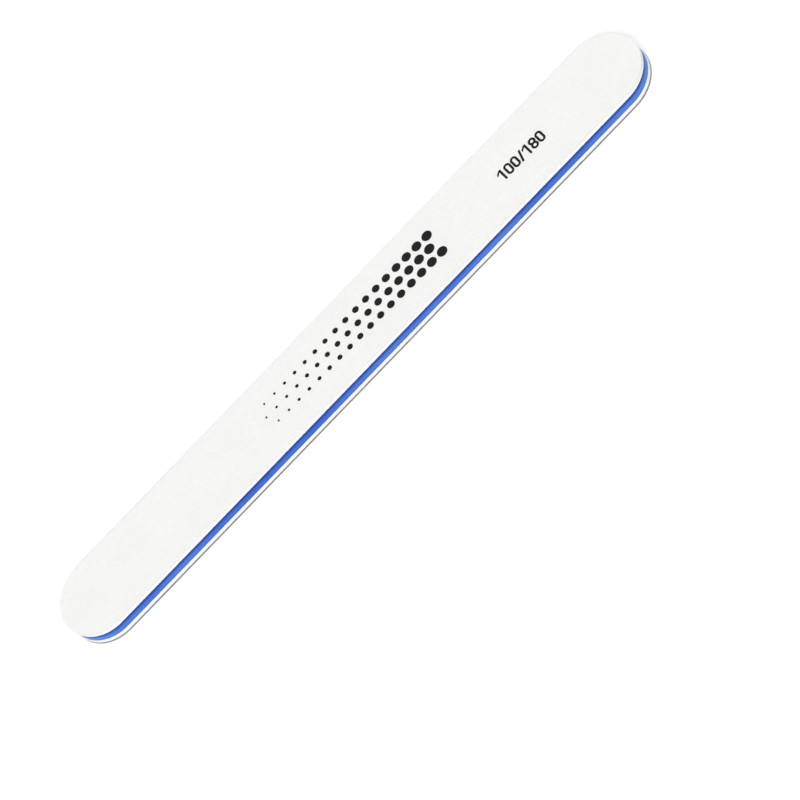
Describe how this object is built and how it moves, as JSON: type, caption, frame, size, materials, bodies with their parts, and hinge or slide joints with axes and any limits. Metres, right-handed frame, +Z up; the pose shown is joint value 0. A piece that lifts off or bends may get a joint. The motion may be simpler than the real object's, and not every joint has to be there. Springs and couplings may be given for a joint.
{
  "type": "nail buffer board",
  "caption": "Straight two-sided nail buffer board with full-round tips: an abrasive sheet on a foam pad on each side of a stiff blue core.",
  "frame": {"origin": "centre of the board's underside, on the surface that it lies on", "axes": "+X along the board towards the end with the grit numbers, +Y across it towards the top of the numbers, +Z up out of the coarse face"},
  "size_m": [0.178, 0.02, 0.0052],
  "materials": {
    "coarse_grain": "coarse abrasive grain, matt, with a faint sparkle",
    "fine_grain": "fine abrasive grain, matt",
    "bond_resin": "thin satin resin",
    "white_backing_paper": "resin-filled backing paper, cut edge",
    "grey_backing_paper": "grey resin-filled backing paper, cut edge",
    "adhesive": "thin clear adhesive film",
    "foam": "white closed-cell foam, cut edge with fine pores",
    "blue_core": "blue moulded plastic, satin cut edge",
    "ink": "black printing ink, broken by the grain under it"
  },
  "bodies": {
    "root": {"bottom_abrasive_grain": "fine_grain", "bottom_bond_coat": "bond_resin", "bottom_backing_paper": "grey_backing_paper", "bottom_sheet_adhesive": "adhesive", "bottom_foam_pad": "foam", "lower_core_adhesive": "adhesive", "core": "blue_core", "upper_core_adhesive": "adhesive", "top_foam_pad": "foam", "top_sheet_adhesive": "adhesive", "top_backing_paper": "white_backing_paper", "top_bond_coat": "bond_resin", "top_abrasive_grain": "coarse_grain", "grit_numbers_print": "ink", "coarse_to_fine_print": "ink"}
  },
  "joints": []
}
